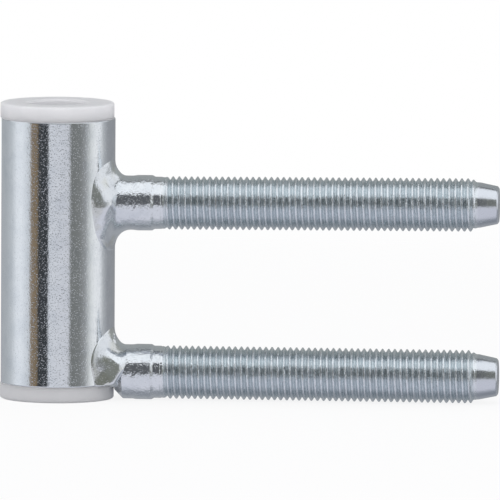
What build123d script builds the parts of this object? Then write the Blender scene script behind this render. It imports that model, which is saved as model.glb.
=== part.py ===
from build123d import *
import os

# Frame part of a drill-in door hinge, in millimetres.
# The barrel stands along Z with its middle at the origin, and the studs point along +X into the frame.

# Barrel: a length of thick steel tube that the hinge pin turns in
barrel_diameter = 15.0
barrel_bore = 11.0
barrel_length = 35.0
barrel_edge_chamfer = 0.25
barrel_mouth_chamfer = 0.3

# Bushes: a plastic liner pressed into each end of the barrel, with a flange flush with the barrel
pin_bore = 8.0
bush_flange_thickness = 2.15
bush_flange_edge_chamfer = 0.3
bush_sleeve_length = 12.0
bush_mouth_chamfer = 0.4
bush_nose_chamfer = 0.5
bush_seat_clearance = 0.02

# Studs: turned bars with a plain shank, a relief neck, a fine thread and a tapered nose
stud_spacing = 22.4
stud_root_gap = 0.1
stud_length = 50.6
stud_root_chamfer = 1.1
shank_diameter = 7.3
shank_length = 5.3
neck_diameter = 6.65
neck_length = 1.2
thread_diameter = 7.1
nose_length = 3.2
nose_root_diameter = 6.3
nose_tip_diameter = 5.2
nose_edge_chamfer = 0.4
shoulder_chamfer = 0.25

# Welds: a concave collar round the root of each stud, on a thin skirt that wraps the barrel
weld_radius = 2.0
weld_skirt_diameter = 11.4
weld_skirt_height = 0.2

barrel_radius = barrel_diameter / 2
barrel_end = barrel_length / 2
shank_radius = shank_diameter / 2
stud_start = barrel_radius + stud_root_gap
shank_end = stud_start + shank_length

# The lower stud's lowest line is level with the lower bush's face, so that the part stands on both
lower_stud_height = shank_radius - barrel_end - bush_flange_thickness
stud_heights = {"upper": lower_stud_height + stud_spacing, "lower": lower_stud_height}


def turned(outline):
    """Full turn about Z of a closed outline of (radius, height) points."""
    profile = make_face(Plane.XZ * Polyline(*outline, close=True))
    return revolve(profile, axis=Axis.Z)


def along_x(solid, height):
    """Lay a solid turned about Z down along +X, at a height on the barrel."""
    return Pos(0, 0, height) * Rot(0, 90, 0) * solid


def bar_along_x(radius, length):
    """Plain round bar from the barrel's axis along +X."""
    bar = Cylinder(radius, length, align=(Align.CENTER, Align.CENTER, Align.MIN))
    return along_x(bar, 0)


def make_barrel():
    """Tube with softened outer edges and chamfered mouths for the bushes."""
    bore_radius = barrel_bore / 2
    half = []
    for side in (1, -1):
        half.append([
            (bore_radius, side * (barrel_end - barrel_mouth_chamfer)),
            (bore_radius + barrel_mouth_chamfer, side * barrel_end),
            (barrel_radius - barrel_edge_chamfer, side * barrel_end),
            (barrel_radius, side * (barrel_end - barrel_edge_chamfer)),
        ])
    top, bottom = half
    return turned(top + bottom[::-1])


def make_bush():
    """Flanged liner whose flange sits on the plane z = 0 and whose sleeve hangs below it."""
    pin_radius = pin_bore / 2
    sleeve_radius = barrel_bore / 2 - bush_seat_clearance
    sleeve_end = -bush_sleeve_length
    return turned([
        (pin_radius, sleeve_end),
        (sleeve_radius - bush_nose_chamfer, sleeve_end),
        (sleeve_radius, sleeve_end + bush_nose_chamfer),
        (sleeve_radius, 0),
        (barrel_radius, 0),
        (barrel_radius, bush_flange_thickness - bush_flange_edge_chamfer),
        (barrel_radius - bush_flange_edge_chamfer, bush_flange_thickness),
        (pin_radius + bush_mouth_chamfer, bush_flange_thickness),
        (pin_radius, bush_flange_thickness - bush_mouth_chamfer),
    ])


def make_stud(height):
    """Turned stud: chamfered root against the barrel, shank, neck, thread at full diameter, nose."""
    neck_radius = neck_diameter / 2
    thread_radius = thread_diameter / 2
    nose_root_radius = nose_root_diameter / 2
    nose_tip_radius = nose_tip_diameter / 2
    neck_end = shank_end + neck_length
    stud_end = stud_start + stud_length
    nose_start = stud_end - nose_length
    bar = turned([
        (0, stud_start),
        (shank_radius - stud_root_chamfer, stud_start),
        (shank_radius, stud_start + stud_root_chamfer),
        (shank_radius, shank_end - shoulder_chamfer),
        (neck_radius, shank_end),
        (neck_radius, neck_end - shoulder_chamfer),
        (thread_radius, neck_end),
        (thread_radius, nose_start - shoulder_chamfer),
        (nose_root_radius, nose_start),
        (nose_tip_radius, stud_end - nose_edge_chamfer),
        (nose_tip_radius - nose_edge_chamfer, stud_end),
        (0, stud_end),
    ])
    return along_x(bar, height)


def make_weld(height, stud):
    """Weld metal: rolling-ball fillet between barrel and shank, skirt, and the fill behind the root."""
    post_length = 2 * (shank_diameter + weld_skirt_diameter)
    post = Cylinder(barrel_radius, post_length)
    core = bar_along_x(shank_radius, shank_end - shoulder_chamfer)
    joined = post + core
    corner = joined.edges().filter_by(
        lambda edge: edge.geom_type not in (GeomType.LINE, GeomType.CIRCLE)
    )
    skirt = bar_along_x(weld_skirt_diameter / 2, shank_end)
    skirt &= Cylinder(barrel_radius + weld_skirt_height, post_length)
    collar = fillet(corner, weld_radius) + skirt - post
    beside_barrel = Box(2 * shank_end, barrel_diameter, barrel_length)
    return (Pos(0, 0, height) * collar - stud) & beside_barrel


def build_parts():
    """Every separate piece of the hinge part, under its own name."""
    parts = {"barrel": make_barrel()}
    bush = make_bush()
    parts["upper_bush"] = Pos(0, 0, barrel_end) * bush
    parts["lower_bush"] = Pos(0, 0, -barrel_end) * Rot(180, 0, 0) * bush
    for place, height in stud_heights.items():
        stud = make_stud(height)
        parts[place + "_stud"] = stud
        parts[place + "_weld"] = make_weld(height, stud)
    return parts


os.makedirs("parts", exist_ok=True)
for name, solid in build_parts().items():
    export_step(solid, os.path.join("parts", name + ".step"))
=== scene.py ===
import math
import bpy
import numpy as np
from mathutils import Matrix


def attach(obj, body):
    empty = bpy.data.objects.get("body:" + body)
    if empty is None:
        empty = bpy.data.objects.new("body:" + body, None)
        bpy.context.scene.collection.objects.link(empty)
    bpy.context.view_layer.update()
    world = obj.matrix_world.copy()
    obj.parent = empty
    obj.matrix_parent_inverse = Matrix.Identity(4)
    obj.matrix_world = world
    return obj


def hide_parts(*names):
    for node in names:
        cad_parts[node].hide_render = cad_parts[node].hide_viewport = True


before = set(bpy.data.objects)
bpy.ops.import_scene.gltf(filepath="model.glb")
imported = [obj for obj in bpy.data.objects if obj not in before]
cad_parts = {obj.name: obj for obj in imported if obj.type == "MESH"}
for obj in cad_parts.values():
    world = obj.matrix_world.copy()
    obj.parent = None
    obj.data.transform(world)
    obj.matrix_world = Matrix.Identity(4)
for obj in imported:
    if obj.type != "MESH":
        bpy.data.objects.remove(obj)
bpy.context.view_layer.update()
mm = 0.001
tau = 2 * math.pi


# Shared helpers for meshes; all lengths are in millimetres until a mesh is built
profileSizes = {
    "arcSteps": 6,
    "sideShare": 0.45,
    "support": 0.06,
    "supportShare": 0.4,
}


def smoothStep(low, high, value):
    # the cubic 3t^2 - 2t^3 of how far value has come from low to high
    t = np.clip((value - low) / (high - low), 0, 1)
    return t * t * (3 - 2 * t)


def roundedProfile(corners):
    # a line through (along, radius, rounding) corners: each corner is an arc that touches both sides and
    # uses up at most a share of either, with one more point just before and after it, so that the flat
    # stretches shade flat
    size = profileSizes
    points = []
    last = len(corners) - 1
    for index, (along, radius, rounding) in enumerate(corners):
        here = np.array([along, radius])
        if index in (0, last) or rounding == 0:
            points.append(here[None, :])
            continue
        before = np.array(corners[index - 1][:2]) - here
        after = np.array(corners[index + 1][:2]) - here
        lengthBefore, lengthAfter = np.linalg.norm(before), np.linalg.norm(after)
        before, after = before / lengthBefore, after / lengthAfter
        half = math.acos(np.clip(before @ after, -1, 1)) / 2
        reach = min(rounding / math.tan(half), size["sideShare"] * min(lengthBefore, lengthAfter))
        radiusUsed = reach * math.tan(half)
        middle = here + (before + after) / np.linalg.norm(before + after) * radiusUsed / math.sin(half)
        first = here + before * reach - middle
        final = here + after * reach - middle
        turn = math.atan2(first[0] * final[1] - first[1] * final[0], first @ final)
        steps = np.linspace(0, turn, size["arcSteps"])
        arc = np.stack([first[0] * np.cos(steps) - first[1] * np.sin(steps),
                        first[0] * np.sin(steps) + first[1] * np.cos(steps)], 1) + middle
        spare = min(size["support"], size["supportShare"] * reach)
        points += [arc[:1] + before * spare, arc, arc[-1:] + after * spare]
    return np.concatenate(points)


def meshFromGrid(name, grid, closeRows=False, startPole=None, endPole=None, caps=False):
    # grid is (rows, columns, 3), and its last column joins its first: neighbours are joined by four-sided
    # faces, a pole closes an end ring with triangles and a cap closes it with one face
    rows, columns = grid.shape[:2]
    vertices = grid.reshape(-1, 3)
    ring = np.arange(columns)
    i, j = np.meshgrid(np.arange(rows if closeRows else rows - 1), ring, indexing="ij")
    nextI, nextJ = (i + 1) % rows, (j + 1) % columns
    quads = np.stack([i * columns + j, nextI * columns + j,
                      nextI * columns + nextJ, i * columns + nextJ], -1)
    loops = [quads.reshape(-1)]
    sizes = [np.full(quads.size // 4, 4)]
    extra = []
    for pole, start in ((startPole, 0), (endPole, (rows - 1) * columns)):
        if pole is None:
            continue
        tip = np.full(columns, len(vertices) + len(extra))
        extra.append(pole)
        pair = [start + ring, start + (ring + 1) % columns]
        fan = [tip] + (pair if start == 0 else pair[::-1])
        loops.append(np.stack(fan, -1).reshape(-1))
        sizes.append(np.full(columns, 3))
    if caps:
        loops += [ring, (rows - 1) * columns + ring[::-1]]
        sizes += [np.array([columns]), np.array([columns])]
    if extra:
        vertices = np.concatenate([vertices, np.array(extra)])
    return buildMesh(name, vertices, np.concatenate(loops), np.concatenate(sizes))


def buildMesh(name, vertices, loops, sizes):
    # the arrays go into the mesh whole, in metres; the faces are turned round if the volume is negative
    starts = np.concatenate([[0], np.cumsum(sizes)[:-1]])
    mesh = bpy.data.meshes.new(name)
    mesh.vertices.add(len(vertices))
    mesh.vertices.foreach_set("co", (vertices * mm).astype(np.float32).ravel())
    mesh.loops.add(len(loops))
    mesh.loops.foreach_set("vertex_index", loops.astype(np.int32))
    mesh.polygons.add(len(sizes))
    mesh.polygons.foreach_set("loop_start", starts.astype(np.int32))
    mesh.update(calc_edges=True)
    mesh.validate()
    corner = vertices[loops[starts]]
    second = vertices[loops[starts + 1]]
    third = vertices[loops[starts + 2]]
    fourth = vertices[loops[starts + sizes - 1]]
    volume = (np.einsum("ij,ij->i", corner, np.cross(second, third))
              + np.einsum("ij,ij->i", corner, np.cross(third, fourth))).sum()
    if volume < 0:
        mesh.flip_normals()
    mesh.polygons.foreach_set("use_smooth", np.ones(len(sizes), bool))
    obj = bpy.data.objects.new(name, mesh)
    bpy.context.scene.collection.objects.link(obj)
    return obj


def place(piece, node, material):
    # the piece takes the CAD node's place and finish
    piece.data.materials.append(material)
    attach(piece, "root")
    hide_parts(node)


def turnedTo(right, up, back):
    # a 4 x 4 turn whose first three columns are the axes
    rows = np.stack([right, up, back], 1)
    return Matrix([list(row) + [0.0] for row in rows] + [[0.0, 0.0, 0.0, 1.0]])


# Shader helpers

class Wire:
    # one output socket; arithmetic on it adds Math nodes
    def __init__(self, graph, socket):
        self.graph, self.socket = graph, socket

    def __add__(self, other):
        return self.graph.maths("ADD", self, other)

    def __radd__(self, other):
        return self.graph.maths("ADD", other, self)

    def __sub__(self, other):
        return self.graph.maths("SUBTRACT", self, other)

    def __rsub__(self, other):
        return self.graph.maths("SUBTRACT", other, self)

    def __mul__(self, other):
        return self.graph.maths("MULTIPLY", self, other)

    def __rmul__(self, other):
        return self.graph.maths("MULTIPLY", other, self)

    def __truediv__(self, other):
        return self.graph.maths("DIVIDE", self, other)

    def __neg__(self):
        return self.graph.maths("MULTIPLY", self, -1.0)


class Graph:
    # a node tree that is written as expressions
    def __init__(self, tree):
        self.tree = tree
        tree.nodes.clear()

    def node(self, kind, settings=None, sockets=None):
        made = self.tree.nodes.new(kind)
        for key, value in (settings or {}).items():
            if key == "stops":
                self.setStops(made.color_ramp, value)
            else:
                setattr(made, key, value)
        for key, value in (sockets or {}).items():
            self.feed(made.inputs[key], value)
        return made

    def setStops(self, ramp, stops):
        while len(ramp.elements) < len(stops):
            ramp.elements.new(1.0)
        for element, (position, color) in zip(ramp.elements, stops):
            element.position = position
            element.color = color

    def feed(self, socket, value):
        if isinstance(value, Wire):
            self.tree.links.new(value.socket, socket)
        else:
            socket.default_value = value

    def wire(self, kind, output, settings=None, sockets=None):
        return Wire(self, self.node(kind, settings, sockets).outputs[output])

    def maths(self, operation, first, second=0.0, clamp=False):
        return self.wire("ShaderNodeMath", 0, {"operation": operation, "use_clamp": clamp},
                         {0: first, 1: second})

    def rise(self, value, low, high):
        # 0 below low, 1 above high, and a smooth step between
        return self.wire("ShaderNodeMapRange", "Result", {"interpolation_type": "SMOOTHSTEP"},
                         {"Value": value, "From Min": low, "From Max": high})

    def between(self, value, low, high, soft):
        # 1 from low to high, falling to 0 over soft on both sides
        return self.rise(value, low - soft, low + soft) * (1 - self.rise(value, high - soft, high + soft))

    def blend(self, factor, first, second):
        made = self.node("ShaderNodeMix", {"data_type": "RGBA", "blend_type": "MIX"})
        self.feed(made.inputs[0], factor)
        self.feed(made.inputs[6], first)
        self.feed(made.inputs[7], second)
        return Wire(self, made.outputs[2])

    def noise(self, position, scale, detail, roughness):
        return self.wire("ShaderNodeTexNoise", "Fac", None,
                         {"Vector": position, "Scale": scale, "Detail": detail, "Roughness": roughness})

    def stretchedNoise(self, position, scales, detail, roughness, turn=(0.0, 0.0, 0.0)):
        # noise with a scale of its own along each axis
        mapped = self.wire("ShaderNodeMapping", "Vector", None,
                           {"Vector": position, "Scale": scales, "Rotation": turn})
        return self.noise(mapped, 1.0, detail, roughness)

    def bump(self, height):
        # height is in metres
        return self.wire("ShaderNodeBump", "Normal", None,
                         {"Height": height, "Distance": 1.0, "Strength": 1.0})


def newMaterial(name):
    material = bpy.data.materials.new(name)
    material.use_nodes = True
    graph = Graph(material.node_tree)
    position = graph.wire("ShaderNodeTexCoord", "Object")
    return material, graph, position


def finishMaterial(graph, sockets):
    surface = graph.wire("ShaderNodeBsdfPrincipled", 0, None, sockets)
    graph.node("ShaderNodeOutputMaterial", None, {"Surface": surface})


# Zinc plate: bright bluish steel with fine orange peel, pits, faint clouds and hairline scratches.
# Depths of bumps are in metres.
zincLook = {
    "color": (0.80, 0.825, 0.85, 1.0),
    "cloudColor": (0.72, 0.75, 0.785, 1.0),
    "heatTint": (0.62, 0.60, 0.46, 1.0),
    "heatShare": 0.3,
    "noises": {
        # scale, detail, roughness
        "clouds": (420.0, 4.0, 0.6),
        "grain": (1900.0, 2.0, 0.6),
        "pits": (5200.0, 1.0, 0.5),
        "heat": (330.0, 2.0, 0.5),
        "ripples": ((6500.0, 2600.0, 2600.0), 2.0, 0.6),
        "lines": ((6500.0, 900.0, 900.0), 2.0, 0.6),
        "flecks": ((8000.0, 1500.0, 1500.0), 1.0, 0.5),
    },
    "ranges": {
        # where a pattern starts to count, and where it counts in full
        "clouds": (0.35, 0.75),
        "pits": (0.56, 0.74),
        "scratches": (0.72, 0.80),
        "heat": (0.50, 0.68),
        "lines": (0.36, 0.64),
        "crest": (0.62, 0.95),
        "flecks": (0.50, 0.66),
    },
    "wave": {"detail": 2.0, "roughness": 0.5},
    "scratch": {"along": 900.0, "across": 9000.0, "turn": 0.35, "detail": 1.0, "roughness": 0.5,
                "depth": 0.000003},
    "rough": {"clouds": 0.08, "pits": 0.10, "scratches": 0.10},
    "ripple": 0.000022,
    "barrel": {"roughness": 0.08, "grain": 0.000010, "pits": 0.0000050, "waveScale": 500.0, "wave": 0.000010},
    "stud": {"roughness": 0.11, "grain": 0.000055, "pits": 0.0000110, "waveScale": 800.0, "wave": 0.000060},
    "weld": {"roughness": 0.11, "grain": 0.000015, "pits": 0.0000080, "waveScale": 700.0, "wave": 0.000026},
    # the thread's second colour is painted shade for its grooves; its crest colour is the plain zinc
    "thread": {"roughness": 0.30, "crest": (0.80, 0.83, 0.86, 1.0), "grooveShade": (0.68, 0.735, 0.765, 1.0),
               "streak": 0.0000240, "grain": 0.35, "flecks": 0.04, "wornLines": 0.8, "crestPolish": 0.6,
               "lineRough": 0.2, "edge": 0.3},
    "nose": {"roughness": 0.19, "color": (0.70, 0.725, 0.77, 1.0), "grain": 0.25, "edge": 0.2},
}


def zincMaterial(name, surface, scratchAxis, threadFrom=None, threadTo=None, tinted=False):
    # bump is the sum of a slow wave, grains like orange peel, small pits and thin scratches along one axis
    material, graph, position = newMaterial(name)
    look, finish, scratch = zincLook, zincLook[surface], zincLook["scratch"]
    noises, ranges = look["noises"], look["ranges"]
    clouds = graph.noise(position, *noises["clouds"])
    grain = graph.noise(position, *noises["grain"])
    pits = graph.rise(graph.noise(position, *noises["pits"]), *ranges["pits"])
    wave = graph.noise(position, finish["waveScale"], look["wave"]["detail"], look["wave"]["roughness"])
    scales = [scratch["across"]] * 3
    scales[scratchAxis] = scratch["along"]
    turn = [0.0, 0.0, 0.0]
    turn[(scratchAxis + 1) % 3] = scratch["turn"]
    streaks = graph.stretchedNoise(position, scales, scratch["detail"], scratch["roughness"], turn)
    scratches = graph.rise(streaks, *ranges["scratches"])
    height = grain * finish["grain"] - pits * finish["pits"] - scratches * scratch["depth"]
    height = height + wave * finish["wave"]
    metallic = 1.0
    color = graph.blend(graph.rise(clouds, *ranges["clouds"]), look["color"], look["cloudColor"])
    rough = finish["roughness"] + (clouds - 0.5) * look["rough"]["clouds"]
    rough = rough + pits * look["rough"]["pits"] + scratches * look["rough"]["scratches"]
    if tinted:
        heat = graph.rise(graph.noise(position, *noises["heat"]), *ranges["heat"])
        color = graph.blend(heat * look["heatShare"], color, look["heatTint"])
    if threadFrom is not None:
        # rolled thread: duller, with fine lines that run round the stud, and painted shade in the grooves,
        # where the colour darkens from crest to root
        thread, nose = look["thread"], look["nose"]
        axes = graph.node("ShaderNodeSeparateXYZ", None, {0: position})
        along = Wire(graph, axes.outputs[0])
        inThread = graph.between(along, threadFrom * mm, threadTo * mm, thread["edge"] * mm)
        ripples = graph.stretchedNoise(position, *noises["ripples"])
        height = (height + ripples * look["ripple"]) * (1 - inThread * (1 - thread["grain"]))
        lines = graph.rise(graph.stretchedNoise(position, *noises["lines"]), *ranges["lines"])
        crestShare = graph.wire("ShaderNodeAttribute", "Fac", {"attribute_name": "crest"})
        crest = graph.rise(crestShare, *ranges["crest"])
        # painted shade: the colour darkens away from the crests into the thread's grooves, broken up by fine
        # lines
        paintedShadeAndLines = graph.maths("ADD", crest, (lines - 0.5) * thread["wornLines"], clamp=True)
        color = graph.blend(inThread, color, graph.blend(paintedShadeAndLines, thread["grooveShade"], thread["crest"]))
        duller = (thread["roughness"] - finish["roughness"]) * (1 - crest * thread["crestPolish"])
        rough = rough + inThread * (duller + (lines - 0.5) * thread["lineRough"])
        height = height + inThread * lines * thread["streak"]
        flecks = graph.rise(graph.stretchedNoise(position, *noises["flecks"]), *ranges["flecks"])
        metallic = 1 - inThread * flecks * thread["flecks"]
        # turned nose: smoother than the thread
        inNose = graph.rise(along, (threadTo - nose["edge"]) * mm, (threadTo + nose["edge"]) * mm)
        color = graph.blend(inNose, color, nose["color"])
        rough = rough + inNose * (nose["roughness"] - finish["roughness"])
        height = height * (1 - inNose * (1 - nose["grain"]))
    finishMaterial(graph, {
        "Base Color": color,
        "Metallic": metallic,
        "Roughness": rough,
        "Normal": graph.bump(height),
    })
    return material


# Nylon: translucent white, moulded, with a faint satin grain
nylonLook = {
    "color": (0.78, 0.78, 0.795, 1.0),
    "shade": (0.74, 0.745, 0.76, 1.0),
    "clouds": (300.0, 3.0, 0.5),
    "cloudRange": (0.3, 0.7),
    "cloudRough": 0.12,
    "grain": (9000.0, 2.0, 0.5),
    "grainDepth": 0.000004,
    "roughness": 0.38,
    "scatter": 0.8,
    "scatterRadius": (1.0, 1.0, 1.0),
    "scatterScale": 0.0045,
    "ior": 1.53,
}


def nylonMaterial():
    look = nylonLook
    material, graph, position = newMaterial("whiteNylon")
    clouds = graph.noise(position, *look["clouds"])
    grain = graph.noise(position, *look["grain"])
    finishMaterial(graph, {
        "Base Color": graph.blend(graph.rise(clouds, *look["cloudRange"]), look["color"], look["shade"]),
        "Roughness": look["roughness"] + (clouds - 0.5) * look["cloudRough"],
        "Subsurface Weight": look["scatter"],
        "Subsurface Radius": look["scatterRadius"],
        "Subsurface Scale": look["scatterScale"],
        "IOR": look["ior"],
        "Normal": graph.bump(grain * look["grainDepth"]),
    })
    return material


barrelZinc = zincMaterial("zincOnBarrel", "barrel", 2)
studZinc = zincMaterial("zincOnStud", "stud", 0, threadFrom=14.1, threadTo=55.5)
weldZinc = zincMaterial("zincOnWeld", "weld", 0, tinted=True)
nylon = nylonMaterial()
print("materials ready")

# Barrel: a tube with softly rounded rims
barrelSizes = {
    "outerRadius": 7.5,
    "boreRadius": 5.5,
    "halfLength": 17.5,
    "rimRounding": 0.12,
    "mouthRounding": 0.25,
    "columns": 256,
}


def ringsAlongZ(profile, columns):
    # a surface of revolution: (radius cos t, radius sin t, height) for each (height, radius) of the profile
    t = np.linspace(0, tau, columns, endpoint=False)
    height, radius = profile[:, 0][:, None], profile[:, 1][:, None]
    return np.stack([radius * np.cos(t), radius * np.sin(t), height + 0 * t], -1)


def makeBarrel():
    size = barrelSizes
    end, outer, bore = size["halfLength"], size["outerRadius"], size["boreRadius"]
    rim, mouth = size["rimRounding"], size["mouthRounding"]
    walls = roundedProfile([
        (0, bore, 0), (-end, bore, mouth), (-end, outer, rim),
        (end, outer, rim), (end, bore, mouth), (0, bore, 0),
    ])
    return meshFromGrid("barrel_tube", ringsAlongZ(walls[:-1], size["columns"]), closeRows=True)


place(makeBarrel(), "barrel", barrelZinc)
print("barrel ready")

# Bushes: a flange on the barrel's end and a sleeve inside it
bushSizes = {
    "boreRadius": 4.0,
    "sleeveRadius": 5.42,
    "flangeRadius": 7.5,
    "flangeThickness": 2.06,
    "offCentre": {"upper": -0.15, "lower": -0.08},
    "sleeveLength": 12.0,
    "faceChamfer": 0.25,
    "boreRounding": 0.3,
    "faceRounding": 0.2,
    "rimRounding": 0.3,
    "footRounding": 0.12,
    "seatRounding": 0.05,
    "tipRounding": 0.4,
    "tipBoreRounding": 0.1,
    "columns": 192,
}


def makeBush(where, side):
    # the profile runs up the bore, over the face and down the flange and the sleeve, and side is 1 for
    # the upper bush and -1 for the lower
    size = bushSizes
    seat = barrelSizes["halfLength"]
    face, tip = seat + size["flangeThickness"], seat - size["sleeveLength"]
    bore, sleeve, flange = size["boreRadius"], size["sleeveRadius"], size["flangeRadius"]
    chamfer, middle = size["faceChamfer"], (seat + tip) / 2
    walls = roundedProfile([
        (middle, bore, 0), (face - chamfer, bore, size["boreRounding"]),
        (face, bore + chamfer, size["faceRounding"]), (face, flange, size["rimRounding"]),
        (seat, flange, size["footRounding"]), (seat, sleeve, size["seatRounding"]),
        (tip, sleeve, size["tipRounding"]), (tip, bore, size["tipBoreRounding"]), (middle, bore, 0),
    ])
    rings = ringsAlongZ(walls[:-1], size["columns"])
    rings[..., 2] *= side
    rings[..., 0] += size["offCentre"][where]
    return meshFromGrid(where + "_bush_liner", rings, closeRows=True)


for where, side in (("upper", 1), ("lower", -1)):
    place(makeBush(where, side), where + "_bush", nylon)
print("bushes ready")

# Studs: shank, neck, right-hand rolled thread and tapered nose, lying along X. A fade is a pair of
# distances from the spot that it belongs to.
studSizes = {
    "heights": {"upper": 6.31, "lower": -15.955},
    "leans": {"upper": 0.0057, "lower": -0.0028},
    "phases": {"upper": 0.685, "lower": 0.435},
    "start": 7.6,
    "rootChamfers": {"upper": 0.2, "lower": 1.1},
    "rootRoundings": (0.1, 0.2),
    "rootRunOn": 0.4,
    "shankRadius": 3.65,
    "shankEnd": 12.45,
    "shankRows": 70,
    "waistDepth": 0.08,
    "waistEnd": 10.35,
    "waistFade": (-0.5, 0.3),
    "shoulderLength": 0.5,
    "shoulderRounding": 0.10,
    "landRadius": 3.44,
    "landStart": 12.81,
    "landEnd": 13.7,
    "landStep": 0.08,
    "landRoundings": (0.12, 0.05),
    "neckRadius": 3.39,
    "neckEnd": 14.1,
    "neckRounding": 0.08,
    "neckRunOn": 0.2,
    "crestRadius": 3.51,
    "rootRadius": 3.06,
    "pitch": 0.8105,
    "cornerFade": (0.04, 0.90),
    "cornerShare": 0.4,
    "rootWidth": 0.08,
    "flankWidth": 0.80,
    "coreFade": (-0.2, 0.8),
    "threadGrow": (-0.55, 0.75),
    "threadEnd": 54.9,
    "threadFade": (-0.4, 0.8),
    "noseRootRadius": 2.98,
    "noseTipRadius": 2.50,
    "noseEdge": (0.20, 0.26),
    "noseRounding": 0.2,
    "poleRadius": 0.6,
    "end": 58.2,
    "samplesPerPitch": 16,
    "columns": 96,
}


def fadeAt(spot, fade, x):
    # from 0 to 1 between two distances from a spot along x
    return smoothStep(spot + fade[0], spot + fade[1], x)


def shankLine(x):
    # the shank's radius: full size, less a shallow waist beside the weld
    size = studSizes
    waist = size["waistDepth"] * (1 - fadeAt(size["waistEnd"], size["waistFade"], x))
    return size["shankRadius"] - waist


def threadShape(phase):
    # one turn of the thread's section, 1 on the crest and 0 in the root: straight flanks between a
    # narrow flat crest and a narrow root, mixed with a smooth step that softens the corners
    size = studSizes
    saw = np.abs((phase % 1.0) * 2 - 1)
    flanks = np.clip((saw - size["rootWidth"]) / size["flankWidth"], 0, 1)
    return smoothStep(*size["cornerFade"], saw) * size["cornerShare"] + flanks * (1 - size["cornerShare"])


def threadLine(x, angle, phase):
    # radius along and round the stud: the neck runs into the thread's core, and the crests
    # grow out of it and die away again before the nose
    size = studSizes
    turn = (x - size["neckEnd"]) / size["pitch"] - angle / tau + phase
    growing = fadeAt(size["neckEnd"], size["threadGrow"], x)
    fading = fadeAt(size["threadEnd"], size["threadFade"], x)
    core = size["neckRadius"] + (size["rootRadius"] - size["neckRadius"]) * fadeAt(
        size["neckEnd"], size["coreFade"], x)
    share = growing * (1 - fading)
    radius = core + (size["crestRadius"] - core) * threadShape(turn) * share
    radius = radius * (1 - fading) + size["noseRootRadius"] * fading
    return radius, 1 - share * (1 - threadShape(turn))


def axisHeight(where, x):
    # the stud's axis starts at its height and leans a little up or down along x
    return studSizes["heights"][where] + studSizes["leans"][where] * x


def makeStud(where):
    # profiles of (x, radius) before and after the thread, with the thread's rows between them
    size = studSizes
    chamfer = size["rootChamfers"][where]
    t = np.linspace(0, tau, size["columns"], endpoint=False)
    start, shankEnd, shankRadius = size["start"], size["shankEnd"], size["shankRadius"]
    waisted = shankRadius - size["waistDepth"]
    rootRounding, chamferRounding = size["rootRoundings"]
    root = roundedProfile([
        (start, size["poleRadius"], 0), (start, waisted - chamfer, rootRounding),
        (start + chamfer, waisted, chamferRounding), (start + chamfer + size["rootRunOn"], waisted, 0),
    ])
    shankX = np.linspace(root[-1, 0], shankEnd - size["shoulderLength"], size["shankRows"])[1:]
    shank = np.stack([shankX, shankLine(shankX)], 1)
    landRounding, stepRounding = size["landRoundings"]
    shoulder = roundedProfile([
        (shankX[-1], shankRadius, 0), (shankEnd, shankRadius, size["shoulderRounding"]),
        (size["landStart"], size["landRadius"], landRounding),
        (size["landEnd"], size["landRadius"], stepRounding),
        (size["landEnd"] + size["landStep"], size["neckRadius"], size["neckRounding"]),
        (size["neckEnd"] - size["neckRunOn"], size["neckRadius"], 0),
    ])[1:]
    noseStart = size["threadEnd"] + size["threadFade"][1]
    edgeLength, edgeDepth = size["noseEdge"]
    nose = roundedProfile([
        (noseStart, size["noseRootRadius"], 0),
        (size["end"] - edgeLength, size["noseTipRadius"], size["noseRounding"]),
        (size["end"], size["noseTipRadius"] - edgeDepth, size["noseRounding"]),
        (size["end"], size["poleRadius"], 0),
    ])
    before = np.concatenate([root, shank, shoulder])
    threadRows = int((nose[0, 0] - before[-1, 0]) / size["pitch"] * size["samplesPerPitch"])
    x = np.linspace(before[-1, 0], nose[0, 0], threadRows)[1:-1, None] + 0 * t
    radius, crest = threadLine(x, t[None, :], size["phases"][where])
    along = np.concatenate([before[:, :1] + 0 * t, x, nose[:, :1] + 0 * t])
    around = np.concatenate([before[:, 1:] + 0 * t, radius, nose[:, 1:] + 0 * t])
    grid = np.stack([along, -around * np.sin(t), axisHeight(where, along) + around * np.cos(t)], -1)
    startPole, endPole = ((x, 0, axisHeight(where, x)) for x in (start, size["end"]))
    stud = meshFromGrid(where + "_threaded_stud", grid, startPole=startPole, endPole=endPole)
    # 1 on the thread's crests and off the thread, 0 in its root; the material paints shade into the grooves
    # by this share
    shares = np.ones((len(grid), size["columns"]))
    shares[len(before):len(before) + len(crest)] = crest
    crestShare = stud.data.attributes.new("crest", "FLOAT", "POINT")
    crestShare.data.foreach_set("value", np.append(shares.ravel(), [1.0, 1.0]).astype(np.float32))
    return stud


for where in ("upper", "lower"):
    place(makeStud(where), where + "_stud", studZinc)
print("studs ready")

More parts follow.
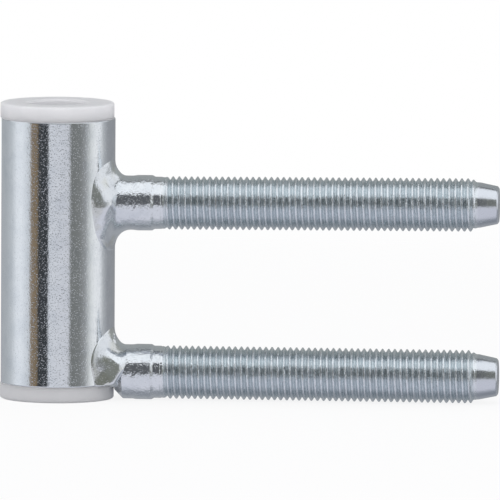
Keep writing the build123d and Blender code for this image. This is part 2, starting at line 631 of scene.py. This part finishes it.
# Welds: an uneven collar between the barrel and each stud. Each key section lies in a plane through
# the stud's axis, at an angle from straight up that grows towards the front. It is a cubic curve from the
# seam on the shank to the toe on the barrel. A seam or toe angle of 0 runs out smoothly, and a pull is the
# length of the curve's handle as a share of the distance from seam to toe.
weldSizes = {
    "upper": {
        "keys": [
            # angle, toe radius, seam x, seam angle, toe angle, seam pull, toe pull, lip height
            (-180, 5.75, 9.75, 0, 0, 0.39, 0.39, 0.00),
            (-140, 6.30, 8.90, 8, 6, 0.36, 0.36, 0.04),
            (-90, 5.60, 8.10, 45, 14, 0.30, 0.45, 0.04),
            (-45, 6.40, 8.60, 22, 8, 0.33, 0.36, 0.03),
            (0, 5.40, 9.15, 0, 3, 0.39, 0.39, 0.00),
            (25, 6.30, 8.75, 6, 14, 0.36, 0.33, 0.00),
            (45, 6.95, 8.30, 30, 6, 0.36, 0.33, 0.00),
            (68, 6.00, 8.00, 50, 18, 0.32, 0.50, 0.02),
            (90, 5.66, 7.90, 62, 26, 0.26, 0.62, 0.02),
            (108, 5.66, 7.90, 45, 20, 0.30, 0.50, 0.05),
            (145, 7.10, 9.00, 4, 4, 0.38, 0.36, 0.08),
            (180, 5.75, 9.75, 0, 0, 0.39, 0.39, 0.00),
        ],
        "lumps": [
            # angle, share of the way to the toe, width, height
            (172, 0.42, 0.16, -0.16),
            (160, 0.50, 0.30, 0.05),
            (60, 0.35, 0.50, 0.05),
        ],
    },
    "lower": {
        "keys": [
            (-114, 5.60, 7.80, 30, 10, 0.30, 0.40, 0.02),
            (-90, 5.50, 8.60, 35, 6, 0.30, 0.40, 0.05),
            (-45, 6.40, 8.90, 20, 10, 0.33, 0.36, 0.04),
            (0, 5.75, 9.10, 0, 2, 0.39, 0.39, 0.00),
            (30, 6.50, 9.20, 8, 10, 0.36, 0.33, 0.02),
            (50, 6.60, 9.35, 22, 6, 0.36, 0.36, 0.07),
            (72, 6.00, 9.25, 48, 0, 0.30, 0.50, 0.09),
            (92, 5.40, 8.80, 60, 0, 0.28, 0.55, 0.08),
            (106, 5.30, 7.95, 60, 8, 0.28, 0.50, 0.05),
            (114, 5.60, 7.80, 50, 10, 0.28, 0.50, 0.02),
        ],
        "lumps": [
            (14, 0.70, 0.34, 0.16),
            (24, 0.52, 0.28, 0.12),
            (19, 0.62, 0.14, -0.14),
            (108, 0.42, 1.30, 0.60),
            (106, 0.86, 0.35, 0.14),
            (112, 0.95, 0.18, -0.10),
        ],
    },
    "keyBlend": 22.0,
    "blendSteps": 13,
    "rimSlope": 0.05,
    "rimLimit": 30.0,
    "rimSharpness": 5,
    "sidewaysLimit": 7.3,
    "leastWidth": 0.12,
    "lipRise": (0.35, 0.8),
    "lipEdge": (0.93, 1.0),
    "uneven": 0.018,
    "waves": [
        # height, waves round the stud, radians from seam to toe, offset
        (1.0, 5, 6, 0.0),
        (0.7, 11, -9, 1.0),
    ],
    "buried": 0.03,
    "sectionPoints": 44,
    "barrelPoints": 9,
    "shankPoints": 6,
    "columns": 240,
}


def betweenKeys(angle, keys):
    # every column of the key table at every angle: straight from key to key, then a weighted
    # average over the angles nearby, so that no key leaves a ridge
    table = np.array(keys, float)
    spread = np.linspace(-1, 1, weldSizes["blendSteps"])
    weight = 1 + np.cos(math.pi * spread)
    near = (angle[..., None] + math.radians(weldSizes["keyBlend"]) * spread + math.pi) % tau - math.pi
    columns = [np.interp(near, np.radians(table[:, 0]), column) @ weight for column in table[:, 1:].T]
    return np.stack(columns) / weight.sum()


def onBarrel(radius, angle):
    # x of the barrel's skin at a radius and an angle from the stud's axis
    sideways = np.minimum(radius * np.sin(angle), weldSizes["sidewaysLimit"])
    return np.sqrt(barrelSizes["outerRadius"] ** 2 - sideways ** 2)


def cubicCurve(s, start, startHandle, endHandle, end):
    # (1 - s)^3 start + 3 s (1 - s)^2 startHandle + 3 s^2 (1 - s) endHandle + s^3 end
    return ((1 - s) ** 3 * start + 3 * s * (1 - s) ** 2 * startHandle
            + 3 * s ** 2 * (1 - s) * endHandle + s ** 3 * end)


def proudOfCurve(which, s, angle, radius, span, lip):
    # how far the skin stands off the plain curve: a round lip at the toe, small lumps and low waves
    shared = weldSizes
    rise, edge = smoothStep(*shared["lipRise"], s), smoothStep(*shared["lipEdge"], s)
    proud = lip * rise * np.sqrt(1 - edge ** 2)
    for lumpAngle, share, width, size in shared[which]["lumps"]:
        far = ((angle - math.radians(lumpAngle)) * radius / width) ** 2 + ((s - share) * span / width) ** 2
        proud = proud + size * np.exp(-far)
    uneven = sum(size * np.sin(around * angle + along * s + offset)
                 for size, around, along, offset in shared["waves"])
    return proud + shared["uneven"] * uneven * np.sin(math.pi * s)


def makeWeld(which):
    # the skin runs from the seam to the toe, and the way back is a line just under the barrel's and
    # the shank's skin
    keys, shared = weldSizes[which]["keys"], weldSizes
    closed = keys[-1][0] == 180
    reach = math.radians(keys[-1][0])
    angle = np.linspace(-reach, reach, shared["columns"], endpoint=not closed)[:, None]
    toe, seamX, seamAngle, toeAngle, seamPull, toePull, lip = betweenKeys(angle, keys)
    seamAngle, toeAngle = np.radians(seamAngle), np.radians(toeAngle)
    if not closed:
        # the toe keeps to the barrel's side of its rim, by a softened least of the two radii
        rim = barrelSizes["halfLength"] + studSizes["heights"][which]
        toRim = np.minimum(rim / np.maximum(-np.cos(angle), shared["rimSlope"]), shared["rimLimit"])
        sharpness = shared["rimSharpness"]
        toe = -np.log(np.exp(-sharpness * toe) + np.exp(-sharpness * toRim)) / sharpness
    shank = shankLine(seamX)
    toe = np.maximum(toe, shank + shared["leastWidth"])
    toeX = onBarrel(toe, angle)
    span = np.hypot(seamX - toeX, toe - shank)
    seamPull, toePull = seamPull * span, toePull * span
    lean = np.arctan2(toe * np.sin(angle) ** 2, toeX) + toeAngle
    s = (0.5 - 0.5 * np.cos(np.linspace(0, math.pi, shared["sectionPoints"])))[None, :]
    x = cubicCurve(s, seamX, seamX - seamPull * np.cos(seamAngle), toeX + toePull * np.sin(lean), toeX)
    r = cubicCurve(s, shank, shank + seamPull * np.sin(seamAngle), toe - toePull * np.cos(lean), toe)
    # outward normal of the section
    dx, dr = np.gradient(x, axis=1), np.gradient(r, axis=1)
    length = np.hypot(dx, dr)
    proud = proudOfCurve(which, s, angle, r, span, lip)
    x, r = x + proud * (dr / length), r - proud * (dx / length)
    buried = shared["buried"]
    back = np.linspace(1, 0, shared["barrelPoints"])[None, :]
    backR = shank - buried + (toe - shank) * back
    backX = onBarrel(backR, angle) - buried
    inner = np.linspace(0, 1, shared["shankPoints"])[None, 1:-1]
    innerX = backX[:, -1:] + (seamX - backX[:, -1:]) * inner
    innerR = (shank - buried) + 0 * innerX
    along = np.concatenate([x, backX, innerX], 1)
    around = np.concatenate([r, backR, innerR], 1)
    up = axisHeight(which, along) + around * np.cos(angle)
    grid = np.stack([along, -around * np.sin(angle), up], -1)
    return meshFromGrid(which + "_weld_collar", grid, closeRows=closed, caps=not closed)


for where in ("upper", "lower"):
    place(makeWeld(where), where + "_weld", weldZinc)
print("welds ready")

# Floor: a pale disc under the part that fades out into the white backdrop. The fade is in metres.
floorLook = {
    "radius": 400.0,
    "innerRadius": 1.0,
    "gap": 0.01,
    "rings": 12,
    "columns": 96,
    "fade": (0.14, 0.32),
    "color": (0.97, 0.97, 0.97, 1.0),
    "bounce": (0.84, 0.84, 0.84, 1.0),
    "glow": 0.85,
}


def makeFloor():
    # a flat disc: (radius cos t, radius sin t) on rings from the inner radius out
    look = floorLook
    t = np.linspace(0, tau, look["columns"], endpoint=False)
    low = -barrelSizes["halfLength"] - bushSizes["flangeThickness"] - look["gap"]
    rings = np.linspace(look["innerRadius"], look["radius"], look["rings"])[:, None]
    grid = np.stack([rings * np.cos(t), rings * np.sin(t), low + 0 * rings * t], -1)
    floor = meshFromGrid("floor", grid, startPole=(0, 0, low))
    floor.visible_glossy = False
    # the camera sees it nearly white, and the part gets its bounced light
    material, graph, position = newMaterial("paleFloor")
    distance = graph.wire("ShaderNodeVectorMath", "Value", {"operation": "LENGTH"}, {0: position})
    fade = graph.rise(distance, *look["fade"])
    camera = graph.wire("ShaderNodeLightPath", "Is Camera Ray")
    color = graph.blend(camera, look["bounce"], look["color"])
    diffuse = graph.wire("ShaderNodeBsdfDiffuse", 0, None, {"Color": color})
    white = graph.wire("ShaderNodeEmission", 0, None, {"Color": (1, 1, 1, 1), "Strength": 1.0})
    clear = graph.wire("ShaderNodeBsdfTransparent", 0)
    lit = graph.wire("ShaderNodeMixShader", 0, None, {0: camera * look["glow"], 1: diffuse, 2: white})
    faded = graph.wire("ShaderNodeMixShader", 0, None, {0: fade, 1: lit, 2: clear})
    graph.node("ShaderNodeOutputMaterial", None, {"Surface": faded})
    floor.data.materials.append(material)


makeFloor()

# Studio: white to the camera, an even glow for what scatters light, and for metal the cards, gaps and
# panels that stand round the part. Azimuth 0 is the camera's side and 90 is +X, in degrees. A band is its
# low end, its high end and how soft its edges are.
studioLook = {
    "glow": (0.73, 0.73, 0.755, 1.0),
    "walls": [
        # azimuth, color: what the upright barrel mirrors
        (-180, (0.40, 0.42, 0.44)),
        (-124, (0.46, 0.485, 0.51)),
        (-104, (0.58, 0.61, 0.64)),
        (-88, (0.86, 0.89, 0.93)),
        (-76, (0.88, 0.91, 0.95)),
        (-56, (0.66, 0.69, 0.73)),
        (-51.5, (0.28, 0.22, 0.16)),
        (-39, (0.235, 0.175, 0.11)),
        (-35, (0.045, 0.05, 0.055)),
        (-16.8, (0.045, 0.05, 0.055)),
        (-13.8, (0.735, 0.755, 0.80)),
        (26, (0.70, 0.71, 0.76)),
        (31, (0.20, 0.208, 0.203)),
        (48, (0.217, 0.225, 0.222)),
        (62, (0.34, 0.35, 0.355)),
        (76, (0.78, 0.80, 0.80)),
        (86, (0.92, 0.93, 0.94)),
        (98, (0.90, 0.91, 0.93)),
        (110, (0.48, 0.495, 0.515)),
        (124, (0.33, 0.34, 0.36)),
        (180, (0.30, 0.31, 0.325)),
    ],
    "floorFront": (0.70, 0.71, 0.78, 1.0),
    "floorBack": (0.29, 0.31, 0.345, 1.0),
    "floorFar": (0.39, 0.405, 0.43, 1.0),
    "floorElevations": (-9, -14),
    "backFloor": (-0.55, 0.15),
    "farFloor": (0.25, 0.9),
    "leastDown": 0.02,
    "backWall": (0.36, 0.38, 0.38, 1.0),
    "wallElevations": (-1, 4),
    "sidePanel": (0.88, 0.90, 0.93, 1.0),
    "rightPanelBand": (60, 128, 4),
    "leftPanelBand": (-112, -62, 4),
    "darkRoom": (0.12, 0.125, 0.135, 1.0),
    "oliveRoom": (0.225, 0.235, 0.215, 1.0),
    "roomBand": (-58, 56, 5),
    "roomElevations": (-4.5, -2.5),
    "oliveAzimuths": (7, 18),
    "topPanel": (1.04, 1.07, 1.10, 1.0),
    "topGap": (0.08, 0.085, 0.09, 1.0),
    "topWidthBand": (-2.6, 2.6, 0.2),
    "topPanelBand": (-1.13, 0.23, 0.03),
    "topGapBand": (0.0, 0.40, 0.03),
    "topHeights": (0.25, 0.35),
    "leastUp": 0.05,
}


def makeStudio():
    world = bpy.data.worlds.new("studio")
    bpy.context.scene.world = world
    world.use_nodes = True
    graph = Graph(world.node_tree)
    look = studioLook
    axes = graph.node("ShaderNodeSeparateXYZ", None, {0: graph.wire("ShaderNodeTexCoord", "Generated")})
    x, y, z = (Wire(graph, axes.outputs[k]) for k in range(3))
    azimuth = graph.maths("ARCTAN2", x, -y) * math.degrees(1)
    elevation = graph.maths("ARCSINE", z) * math.degrees(1)
    stops = [((turn + 180) / 360, tint + (1.0,)) for turn, tint in look["walls"]]
    color = graph.wire("ShaderNodeValToRGB", "Color", {"stops": stops}, {"Fac": (azimuth + 180) / 360})
    # the floor, lit in front and dim behind, by how far back a ray meets it
    farBack = y / graph.maths("MAXIMUM", -z, look["leastDown"])
    floor = graph.blend(graph.rise(farBack, *look["backFloor"]), look["floorFront"], look["floorBack"])
    floor = graph.blend(graph.rise(farBack, *look["farFloor"]), floor, look["floorFar"])
    color = graph.blend(graph.rise(elevation, *look["floorElevations"]), color, floor)
    # above the horizon: a dim wall behind, bright panels at both sides, and the dark room by the camera
    aboveHorizon = graph.rise(elevation, *look["wallElevations"])
    color = graph.blend(aboveHorizon, color, look["backWall"])
    panels = graph.between(azimuth, *look["rightPanelBand"]) + graph.between(azimuth, *look["leftPanelBand"])
    color = graph.blend(panels * aboveHorizon, color, look["sidePanel"])
    room = graph.between(azimuth, *look["roomBand"]) * graph.rise(elevation, *look["roomElevations"])
    roomColor = graph.blend(graph.rise(azimuth, *look["oliveAzimuths"]), look["darkRoom"], look["oliveRoom"])
    color = graph.blend(room, color, roomColor)
    # overhead panel, a rectangle high above the part, with a dark gap behind it
    up = graph.maths("MAXIMUM", z, look["leastUp"])
    above = graph.between(x / up, *look["topWidthBand"]) * graph.rise(z, *look["topHeights"])
    color = graph.blend(above * graph.between(y / up, *look["topGapBand"]), color, look["topGap"])
    color = graph.blend(above * graph.between(y / up, *look["topPanelBand"]), color, look["topPanel"])
    path = graph.node("ShaderNodeLightPath")
    isCamera, isGlossy, isTransmission = (
        Wire(graph, path.outputs[name]) for name in ("Is Camera Ray", "Is Glossy Ray", "Is Transmission Ray"))
    backdrop = graph.blend(isGlossy, (1.0, 1.0, 1.0, 1.0), color)
    seen = graph.maths("MAXIMUM", isCamera, graph.maths("MAXIMUM", isGlossy, isTransmission))
    surroundings = graph.blend(seen, look["glow"], backdrop)
    background = graph.wire("ShaderNodeBackground", 0, None, {"Color": surroundings, "Strength": 1.0})
    graph.node("ShaderNodeOutputWorld", None, {"Surface": background})


makeStudio()

# Lamps: square soft lamps that face a point near the part's middle, in metres and watts
lampLook = {
    "target": (0.025, 0.0, 0.0),
    "lamps": {
        # location, size, power
        "overhead": ((0.02, -0.10, 0.60), 0.6, 0.62),
        "frontFill": ((-0.38, -0.52, 0.10), 0.5, 0.68),
        "rightFill": ((0.45, -0.30, -0.01), 0.3, 0.5),
    },
}


def addLamp(name, location, size, power):
    # the lamp's third axis points away from the target
    data = bpy.data.lights.new(name, "AREA")
    data.size = size
    data.energy = power
    lamp = bpy.data.objects.new(name, data)
    bpy.context.scene.collection.objects.link(lamp)
    back = np.array(location) - np.array(lampLook["target"])
    back = back / np.linalg.norm(back)
    right = np.cross([0.0, 0.0, 1.0], back)
    right = right / np.linalg.norm(right)
    lamp.matrix_world = Matrix.Translation(location) @ turnedTo(right, np.cross(back, right), back)
    lamp.visible_glossy = False


for name, (location, size, power) in lampLook["lamps"].items():
    addLamp(name, location, size, power)
print("studio ready")

# Camera: a long lens a little above the part, turned and rolled as the photograph is. Distance and
# shifts are in millimetres, scale is in pixels for each millimetre and clip is in metres.
cameraLook = {
    "elevation": math.radians(5.92),
    "turn": math.radians(4.2),
    "roll": math.radians(0.30),
    "distance": 3000.0,
    "scale": 7.59,
    "shiftRight": 25.29,
    "shiftUp": 0.035,
    "sensor": 36.0,
    "imageWidth": 500.0,
    "clip": (0.05, 20.0),
}


def makeCamera():
    look = cameraLook
    # the view direction (-sin t cos e, cos t cos e, -sin e), with its right and up axes rolled by r
    e, t, r = look["elevation"], look["turn"], look["roll"]
    forward = np.array([-math.sin(t) * math.cos(e), math.cos(t) * math.cos(e), -math.sin(e)])
    right = np.array([math.cos(t), math.sin(t), 0.0])
    up = np.array([-math.sin(t) * math.sin(e), math.cos(t) * math.sin(e), math.cos(e)])
    rolledRight = right * math.cos(r) + up * math.sin(r)
    rolledUp = up * math.cos(r) - right * math.sin(r)
    spot = rolledRight * look["shiftRight"] - rolledUp * look["shiftUp"] - forward * look["distance"]
    data = bpy.data.cameras.new("camera")
    data.sensor_width = look["sensor"]
    data.lens = look["scale"] * look["distance"] / look["imageWidth"] * look["sensor"]
    data.clip_start, data.clip_end = look["clip"]
    camera = bpy.data.objects.new("camera", data)
    bpy.context.scene.collection.objects.link(camera)
    camera.matrix_world = Matrix.Translation(spot * mm) @ turnedTo(rolledRight, rolledUp, -forward)
    bpy.context.scene.camera = camera


makeCamera()
bpy.context.scene.view_settings.view_transform = "Standard"
print("camera ready")
